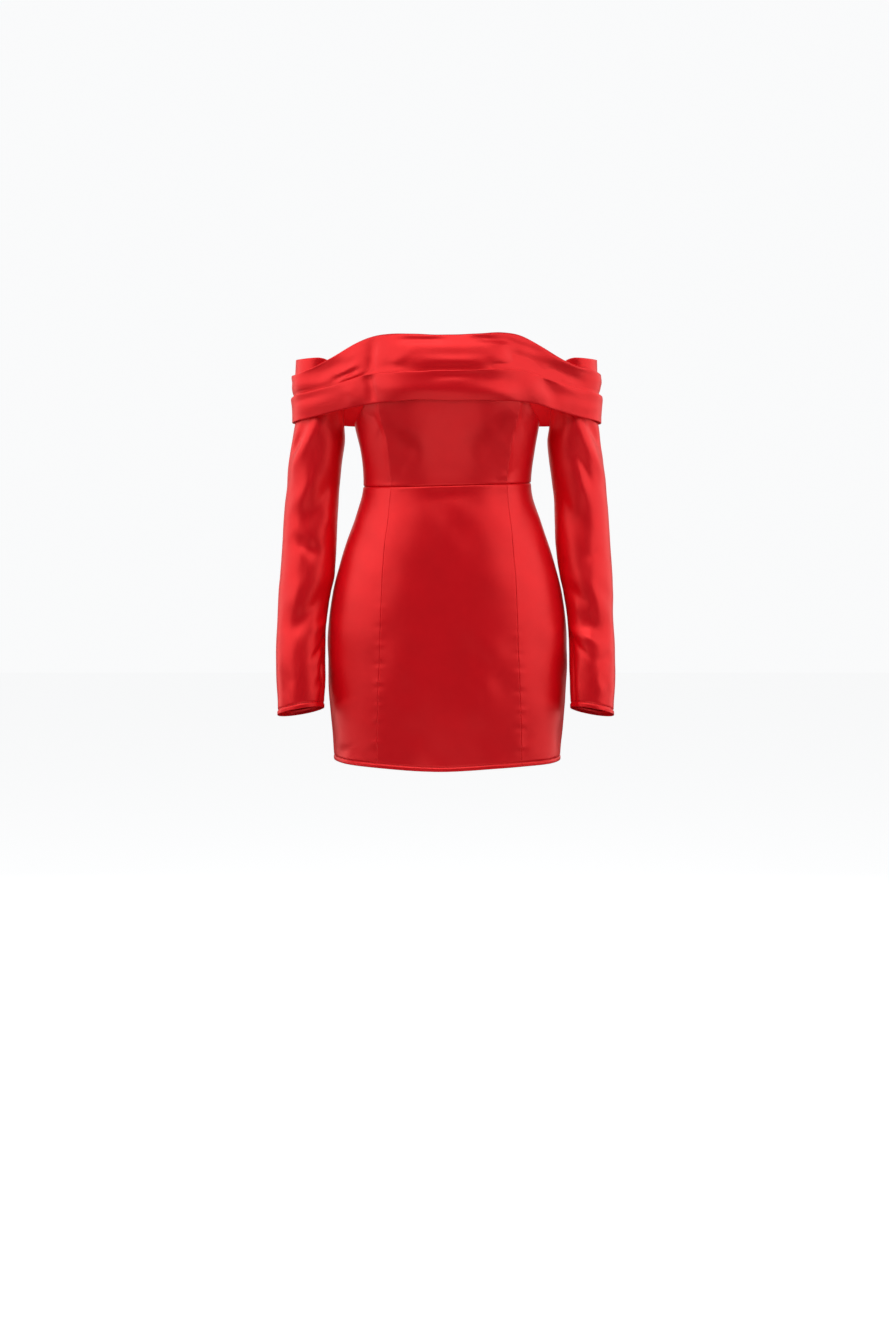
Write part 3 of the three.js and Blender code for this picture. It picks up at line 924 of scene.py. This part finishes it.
def arm_reach(arm, turn, z):
    """How far a sleeve reaches in a direction."""
    middle = arm.side * arm.mid(z) * np.sin(turn) + sleeve_ahead(z) * np.cos(turn)
    return middle + np.hypot(arm.half(z) * np.sin(turn), sleeve_depth(z) * np.cos(turn))


# Search for the direction that the taut cloth faces: limit in degrees, steps and passes
LEAN_LIMIT = 80
LEAN_STEPS = 20
LEAN_PASSES = 3


def drape_radius(angle, z, out):
    """Distance of the taut outline from the middle, moved out from what it lies on."""
    angle, z, out = (a[..., None] for a in np.broadcast_arrays(angle, z, out))
    steps = np.linspace(-1, 1, 2 * LEAN_STEPS + 1)
    lean = np.zeros(angle.shape)
    window = LEAN_LIMIT
    for _ in range(LEAN_PASSES):
        leans = np.clip(lean + window * steps, -LEAN_LIMIT, LEAN_LIMIT)
        turn = np.radians(angle + leans)
        reach = torso_reach(turn, z)
        for arm in ARMS:
            reach = np.maximum(reach, arm_reach(arm, turn, z))
        radius = (reach + out) / np.cos(np.radians(leans))
        best = radius.argmin(-1)[..., None]
        lean = np.take_along_axis(leans, best, -1)
        window /= LEAN_STEPS
    return np.take_along_axis(radius, best, -1)[..., 0]


def drape_outline():
    """Plan angles all round the drape, and the length along it from the front to each."""
    angle = np.arange(-CENTRE_BACK, CENTRE_BACK + DRAPE_STEP / 2, DRAPE_STEP)
    radius = drape_radius(angle, DRAPE_LEVEL, DRAPE_OUT)
    points = place(angle, radius, DRAPE_LEVEL)
    steps = np.linalg.norm(np.diff(points, axis=0), axis=1)
    length = np.concatenate([[0], np.cumsum(steps)])
    return angle, length - np.interp(0, angle, length)


OUTLINE_ANGLE, OUTLINE_LENGTH = drape_outline()
OUTLINE_GIRTH = OUTLINE_LENGTH[-1] - OUTLINE_LENGTH[0]


def drape_spread(angle, _z=None):
    """Length along the drape from the front, the same at every height."""
    turns = np.floor((angle + CENTRE_BACK) / 360)
    length = np.interp(angle - 360 * turns, OUTLINE_ANGLE, OUTLINE_LENGTH)
    return length + turns * OUTLINE_GIRTH


def spline(controls, samples):
    """A closed quadratic B-spline: points through each span, rounded at its control points."""
    points = []
    count = len(controls)
    for i, steps in enumerate(samples):
        before, here, after = controls[i - 1], controls[i], controls[(i + 1) % count]
        start, end = (before + here) / 2, (here + after) / 2
        for t in np.arange(steps) / steps:
            points.append(start * (1 - t) ** 2 + 2 * here * t * (1 - t) + end * t * t)
    return np.stack(points, -1)


def drape_piece(name, start, end):
    """One piece of the drape, from one plan angle to another."""
    reach = drape_spread(np.array([start, end]))
    length = reach[1] - reach[0]
    along = stations(length, GRID, SEWN, SEWN)
    distance = mix(reach[0] + SEAM_GAP / 2, reach[1] - SEAM_GAP / 2, along)
    lengths = np.concatenate([OUTLINE_LENGTH, OUTLINE_LENGTH[1:] + OUTLINE_GIRTH])
    angles = np.concatenate([OUTLINE_ANGLE, OUTLINE_ANGLE[1:] + 360])
    angle = (np.interp(distance, lengths, angles) + CENTRE_BACK) % 360 - CENTRE_BACK
    line = {key: value(angle) for key, value in drape_lines.items()}
    for key, (height, wave_length, seed) in DRAPE_WAVES.items():
        line[key] = line[key] + height * wave(distance, wave_length, seed)

    heights, outs, samples = [], [], []
    weights = {"upper": [], "lower": []}
    for low, high, share, rise, out, tier, steps in DRAPE_SECTION:
        heights.append(mix(line[low], line[high], share) + rise)
        outs.append(out + 0 * angle)
        for key, weight in weights.items():
            weight.append(float(tier == key) + 0 * angle)
        samples.append(steps)
    z = spline(heights, samples)
    out = spline(outs, samples)
    angle = angle[:, None]
    for key, creases in (("upper", UPPER_PLEAT_CREASES), ("lower", LOWER_PLEAT_CREASES)):
        out = out + spline(weights[key], samples) * relief(creases, drape_spread, angle, z)
    edge = np.minimum(distance - reach[0], reach[1] - distance)[:, None]
    out = np.maximum(out - rolled(edge) * (out > DRAPE_ROLL_FROM), DRAPE_CLEAR)
    sections = place(angle, drape_radius(angle, z, out), z)
    return cloth(name + "_cloth", sections, along * length, cap="plane")


# Stitches
def stitches(name, path, normal):
    """Short threads along a closed path, each sunk into the cloth at its ends."""
    steps = np.linalg.norm(np.diff(path, axis=0, append=path[:1]), axis=1)
    length = np.concatenate([[0], np.cumsum(steps)])
    closed_path = np.concatenate([path, path[:1]])
    closed_normal = np.concatenate([normal, normal[:1]])

    def at(distance, values):
        where = distance % length[-1]
        return np.stack([np.interp(where, length, values[:, axis]) for axis in range(3)], -1)

    count = int(length[-1] / STITCH_SPACING)
    points, faces = [], []
    for n in range(count):
        start = n / count * length[-1] - STITCH_LENGTH / 2
        first = len(points)
        for share, lift, radius in zip(*STITCH_PROFILE.values()):
            distance = start + share * STITCH_LENGTH
            centre = at(distance, closed_path)
            up = at(distance, closed_normal)
            before = at(distance - STITCH_AHEAD, closed_path)
            beside = np.cross(at(distance + STITCH_AHEAD, closed_path) - before, up)
            beside /= np.linalg.norm(beside)
            for k in range(STITCH_SIDES):
                turn = 2 * math.pi * k / STITCH_SIDES
                outward = beside * math.cos(turn) + up * math.sin(turn)
                points.append(centre + up * lift + outward * radius * STITCH_RADIUS)
        end = len(points) - STITCH_SIDES
        for ring in range(first, end, STITCH_SIDES):
            for k in range(STITCH_SIDES):
                a, b = ring + k, ring + (k + 1) % STITCH_SIDES
                faces.append((a, a + STITCH_SIDES, b + STITCH_SIDES, b))
        faces.append(tuple(range(first, first + STITCH_SIDES)))
        faces.append(tuple(range(end + STITCH_SIDES - 1, end - 1, -1)))
    mesh = bpy.data.meshes.new(name)
    mesh.from_pydata((np.array(points) * MM).tolist(), [], faces)
    mesh.shade_smooth()
    return add_object(name, mesh)


def outward_normal(surface, parameter, step=0.2):
    """Unit normals of a surface along a line round it, pointing away from its middle."""
    along = surface(parameter + step, 0) - surface(parameter - step, 0)
    up = surface(parameter, 1) - surface(parameter, -1)
    normal = np.cross(along, up)
    normal /= np.linalg.norm(normal, axis=1, keepdims=True)
    points = surface(parameter, 0)
    away = points - points.mean(0)
    return normal * np.sign((normal * away).sum(1, keepdims=True))


def skirt_stitches():
    angle = np.arange(-CENTRE_BACK, CENTRE_BACK, SKIRT_PATH_STEP)

    def surface(at, up):
        z = hem_level(at) + SKIRT_STITCH_RISE + up
        out = torso_relief(at, z) + hem_relief(SKIRT_STITCH_RISE, SKIRT_STITCH_RISE)
        return place(at, torso_radius(at, z, out), z)

    return stitches("skirt_hem_stitches", surface(angle, 0), outward_normal(surface, angle))


def cuff_stitches(arm):
    turn = np.arange(0, 360, CUFF_PATH_STEP)

    def surface(at, up):
        z = cuff_level(at) + CUFF_STITCH_RISE + up
        out = sleeve_relief(arm, at, z) + hem_relief(CUFF_STITCH_RISE, CUFF_STITCH_RISE)
        return sleeve_place(arm, at, z, out)

    return stitches(arm.name + "_cuff_stitches", surface(turn, 0), outward_normal(surface, turn))


# Materials
def fill(node, values):
    for socket, value in values.items():
        node.inputs[socket].default_value = value


class Nodes:
    """Adds nodes to a tree, fills in their sockets and joins them."""

    def __init__(self, tree):
        self.tree = tree

    def add(self, kind, sockets=None, **values):
        node = self.tree.nodes.new(kind)
        for key, value in values.items():
            setattr(node, key, value)
        fill(node, sockets or {})
        return node

    def join(self, source, target):
        self.tree.links.new(source, target)


def new_material(name, look):
    """A material whose shader has this look, with its nodes and its shader."""
    material = bpy.data.materials.new(name)
    material.use_nodes = True
    shader = material.node_tree.nodes["Principled BSDF"]
    fill(shader, look)
    return material, Nodes(material.node_tree), shader


SATIN_RED = (0.90, 0.001, 0.011, 1)
SATIN_DEEP = (0.76, 0.0005, 0.009, 1)
THREAD_RED = (0.30, 0.003, 0.010, 1)
PALE = (0.955, 0.96, 0.965, 1)
SATIN = {
    "Metallic": 0.35,
    "Specular IOR Level": 0.9,
    "Specular Tint": (1.0, 0.55, 0.45, 1),
    "Sheen Weight": 0.03,
    "Sheen Roughness": 0.4,
    "Sheen Tint": (1.0, 0.35, 0.32, 1),
}
FLOOR = {
    "Base Color": (0.5, 0.5, 0.5, 1),
    "Roughness": 0.7,
    "Emission Color": PALE,
    "Emission Strength": 0.945,
}


def satin():
    """Glossy satin: fine warp floats, a faint cloudiness and a tinted gloss."""
    material, nodes, shader = new_material("satin_cloth", SATIN)
    place_on_cloth = nodes.add("ShaderNodeUVMap", uv_map="cloth")

    def noise(scale, detail, stretch=(1, 1, 1)):
        mapping = nodes.add("ShaderNodeMapping", {"Scale": stretch})
        nodes.join(place_on_cloth.outputs["UV"], mapping.inputs["Vector"])
        texture = nodes.add("ShaderNodeTexNoise", {"Scale": scale, "Detail": detail})
        nodes.join(mapping.outputs["Vector"], texture.inputs["Vector"])
        return texture.outputs["Fac"]

    def bump(height, strength, distance):
        node = nodes.add("ShaderNodeBump", {"Strength": strength, "Distance": distance * MM})
        nodes.join(height, node.inputs["Height"])
        return node

    cloudy = noise(scale=22, detail=3)
    floats = noise(scale=260, detail=3, stretch=(5, 0.6, 1))
    mottle = noise(scale=150, detail=2)

    colour = nodes.add("ShaderNodeMix", {"A": SATIN_DEEP, "B": SATIN_RED}, data_type="RGBA")
    nodes.join(cloudy, colour.inputs["Factor"])
    nodes.join(colour.outputs["Result"], shader.inputs["Base Color"])

    rough = nodes.add("ShaderNodeMapRange", {"To Min": 0.36, "To Max": 0.44})
    nodes.join(mottle, rough.inputs["Value"])
    nodes.join(rough.outputs["Result"], shader.inputs["Roughness"])

    coarse = bump(mottle, strength=0.25, distance=0.1)
    fine = bump(floats, strength=0.3, distance=0.04)
    nodes.join(coarse.outputs["Normal"], fine.inputs["Normal"])
    nodes.join(fine.outputs["Normal"], shader.inputs["Normal"])
    return material


def thread():
    """Twisted thread, darker than the cloth."""
    material, nodes, shader = new_material("thread", {"Roughness": 0.5})
    where = nodes.add("ShaderNodeTexCoord")
    twist = nodes.add("ShaderNodeTexWave", {"Scale": 900})
    nodes.join(where.outputs["Object"], twist.inputs["Vector"])
    colour = nodes.add("ShaderNodeMix", {"A": THREAD_RED, "B": SATIN_DEEP}, data_type="RGBA")
    nodes.join(twist.outputs["Fac"], colour.inputs["Factor"])
    nodes.join(colour.outputs["Result"], shader.inputs["Base Color"])
    return material


# Camera, floor and light
ROOM_STRENGTH = 0.05
MIDDLE = (0, 0, -0.1)

# Where each light is, the point it faces, its width and height, and its power in watts
LIGHTS = {
    "side_right": ((-1.35, -0.5, 0.56), MIDDLE, (1.8, 1.45), 13),
    "side_left": ((1.35, -0.5, 0.42), MIDDLE, (1.8, 1.7), 13),
    "edge_right": ((-2.0, 1.1, 0.25), MIDDLE, (1.4, 2.4), 15),
    "edge_left": ((2.0, 1.1, 0.25), MIDDLE, (1.4, 2.4), 15),
    "low_right": ((-2.6, -0.5, -1.02), MIDDLE, (2.4, 0.24), 6),
    "low_left": ((2.6, -0.5, -1.02), MIDDLE, (2.4, 0.24), 6),
    "ground_front": ((0, -2.3, -1.14), (0, -2.3, 0), (3.8, 1.7), 17),
    "above": ((-0.2, -1.6, 2.6), MIDDLE, (3.0, 1.8), 51),
    "behind": ((0, 2.8, 0.6), MIDDLE, (4.0, 2.4), 24),
}


def add_camera():
    focal = CAMERA_RANGE / PIXEL_SIZE
    tilt = math.atan((PHOTO_HEIGHT / 2 - LEVEL_ROW) / focal)
    data = bpy.data.cameras.new("camera")
    data.lens = focal * math.cos(tilt) * data.sensor_width / PHOTO_HEIGHT
    camera = add_object("camera", data)
    camera.location = ((PHOTO_WIDTH / 2 - DRESS_COLUMN) * PIXEL_SIZE, -CAMERA_RANGE, EYE_HEIGHT)
    camera.rotation_euler = (math.pi / 2 - tilt, 0, 0)
    bpy.context.scene.camera = camera


def add_floor():
    mesh = bpy.data.meshes.new("floor")
    corners = ((-1, -1), (1, -1), (1, 1), (-1, 1))
    points = [(x * FLOOR_REACH, y * FLOOR_REACH, FLOOR_LEVEL) for x, y in corners]
    mesh.from_pydata(points, [], [(0, 1, 2, 3)])
    mesh.materials.append(new_material("pale_floor", FLOOR)[0])
    floor = add_object("floor", mesh)
    floor.visible_glossy = False
    floor.visible_diffuse = False


def add_light(name, spot, aim, size, power):
    data = bpy.data.lights.new(name, "AREA")
    data.shape = "RECTANGLE"
    data.size, data.size_y = size
    data.energy = power
    light = add_object(name, data)
    light.location = spot
    away = np.array(spot) - np.array(aim)
    tilt = math.atan2(math.hypot(away[0], away[1]), away[2])
    heading = math.atan2(away[1], away[0]) + math.pi / 2
    light.rotation_euler = (tilt, 0, heading)


def add_world():
    """A dim room that lights the cloth, and a pale backdrop that only the camera sees."""
    world = bpy.data.worlds.new("studio")
    world.use_nodes = True
    bpy.context.scene.world = world
    nodes = Nodes(world.node_tree)
    output = world.node_tree.nodes["World Output"]
    room = world.node_tree.nodes["Background"]
    fill(room, {"Color": (1, 1, 1, 1), "Strength": ROOM_STRENGTH})
    backdrop = nodes.add("ShaderNodeBackground", {"Color": PALE})
    seen = nodes.add("ShaderNodeLightPath")
    choose = nodes.add("ShaderNodeMixShader")
    nodes.join(seen.outputs["Is Camera Ray"], choose.inputs["Fac"])
    nodes.join(room.outputs["Background"], choose.inputs[1])
    nodes.join(backdrop.outputs["Background"], choose.inputs[2])
    nodes.join(choose.outputs["Shader"], output.inputs["Surface"])


def dress():
    cloth_finish, thread_finish = satin(), thread()
    pieces = body_panels()
    for arm in ARMS:
        pieces[arm.name] = sleeve_tube(arm)
    pieces["collar_front"] = drape_piece("collar_front", -DRAPE_SPLIT, DRAPE_SPLIT)
    pieces["collar_back"] = drape_piece("collar_back", DRAPE_SPLIT, 360 - DRAPE_SPLIT)

    sewn_on = {"skirt_front_centre": skirt_stitches()}
    for arm in ARMS:
        sewn_on[arm.name] = cuff_stitches(arm)
    for threads in sewn_on.values():
        threads.data.materials.append(thread_finish)
        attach(threads, "root")

    for node, piece in pieces.items():
        piece.data.materials.append(cloth_finish)
        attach(piece, "root")
        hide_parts(node)


bpy.context.scene.view_settings.view_transform = "Standard"
add_camera()
add_floor()
add_world()
for light_name, light_values in LIGHTS.items():
    add_light(light_name, *light_values)
dress()
